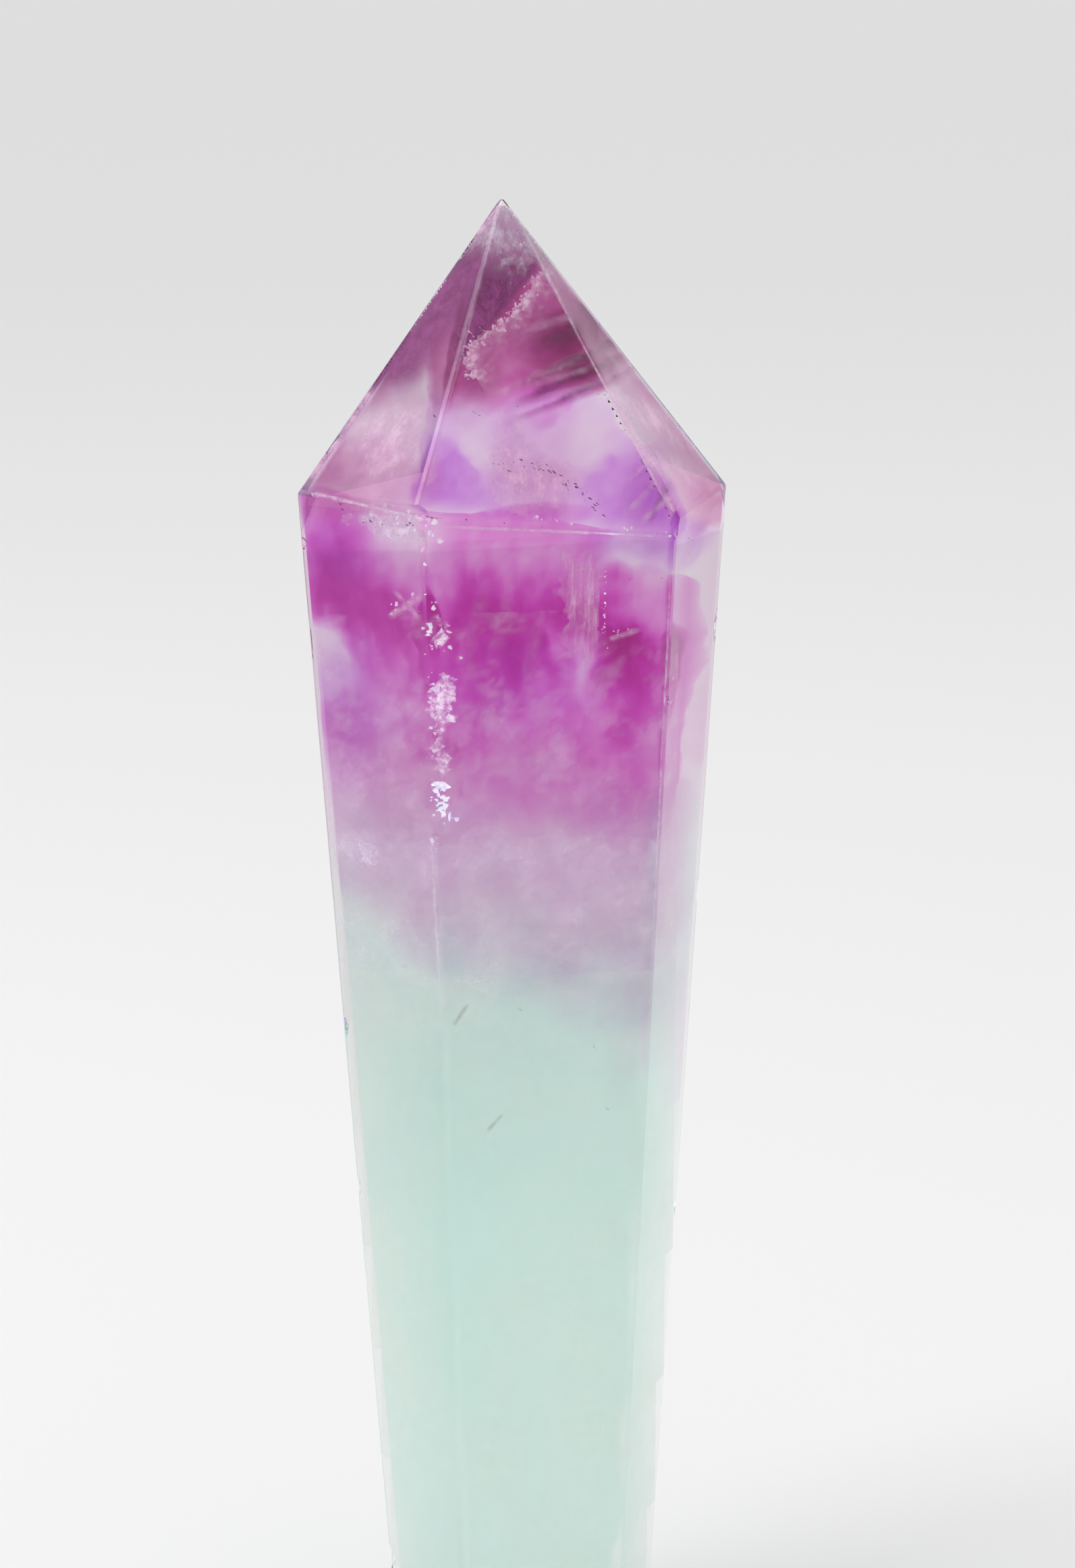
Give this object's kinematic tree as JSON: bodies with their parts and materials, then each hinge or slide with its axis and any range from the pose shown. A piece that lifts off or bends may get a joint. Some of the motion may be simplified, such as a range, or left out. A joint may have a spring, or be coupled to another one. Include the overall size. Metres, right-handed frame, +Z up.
{
  "type": "watermelon fluorite point",
  "caption": "Hand-cut standing point of clear fluorite, purple at the tip and mint green below, on a small flat foot.",
  "frame": {"origin": "middle of the stone's outline seen from above, on the surface its flat foot stands on", "axes": "+Z up along the stone towards its tip, +X along its widest side-to-side extent, -Y towards the broad front face"},
  "size_m": [0.024, 0.0188, 0.0838],
  "materials": {
    "fluorite": "Polished clear fluorite, refractive index 1.434, tinted purple above and mint green below by colour held in the stone."
  },
  "bodies": {
    "root": {"fluorite_point": "fluorite"}
  },
  "joints": []
}
